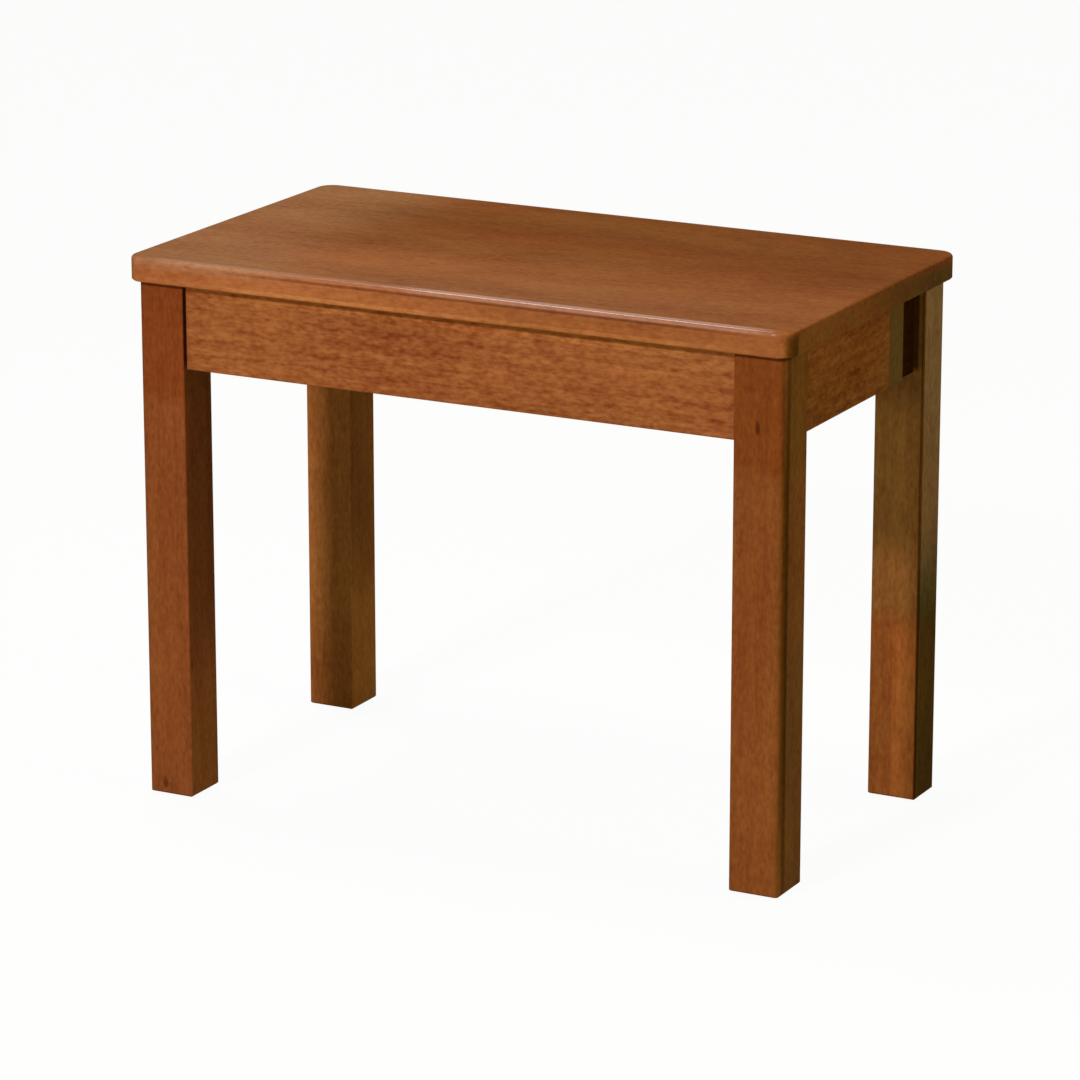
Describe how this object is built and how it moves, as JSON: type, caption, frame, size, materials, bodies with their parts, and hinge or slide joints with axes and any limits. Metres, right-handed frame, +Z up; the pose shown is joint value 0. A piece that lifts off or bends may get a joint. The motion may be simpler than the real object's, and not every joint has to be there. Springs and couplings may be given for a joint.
{
  "type": "wooden stool",
  "caption": "Rectangular wooden stool: a flat seat board with rounded corners on square legs, joined by a deep apron frame with tenons and corner blocks.",
  "frame": {"origin": "middle of the stool's footprint, on the floor", "axes": "+X along the long side to the right as seen from the front, the front faces -Y, +Z up"},
  "size_m": [0.58, 0.32, 0.45],
  "materials": {
    "seat_wood": "reddish-brown stained hardwood, grain along X, satin lacquer",
    "leg_wood": "reddish-brown stained hardwood, upright grain, satin lacquer",
    "apron_wood": "reddish-brown stained hardwood, grain along the apron, satin lacquer",
    "strip_wood": "olive-brown stained hardwood, upright grain, satin lacquer",
    "block_wood": "unstained hardwood, sawn and sanded",
    "zinc_steel": "zinc-plated steel",
    "glide_plastic": "dark brown moulded plastic, matt"
  },
  "bodies": {
    "root": {"seat_panel": "seat_wood", "leg_front_left": "leg_wood", "leg_front_right": "leg_wood", "leg_rear_left": "leg_wood", "leg_rear_right": "leg_wood", "apron_front": "apron_wood", "apron_right": "apron_wood", "apron_rear": "apron_wood", "apron_left": "apron_wood", "apron_strip": "strip_wood", "corner_block_front_left": "block_wood", "corner_block_front_right": "block_wood", "corner_block_rear_left": "block_wood", "corner_block_rear_right": "block_wood", "seat_button_front_left": "block_wood", "seat_button_front_right": "block_wood", "seat_button_rear_left": "block_wood", "seat_button_rear_right": "block_wood", "block_screws": "zinc_steel", "seat_screws": "zinc_steel", "seat_washers": "zinc_steel", "button_screws": "zinc_steel", "glide_front_left": "glide_plastic", "glide_front_right": "glide_plastic", "glide_rear_left": "glide_plastic", "glide_rear_right": "glide_plastic", "glide_nails": "zinc_steel"}
  },
  "joints": []
}
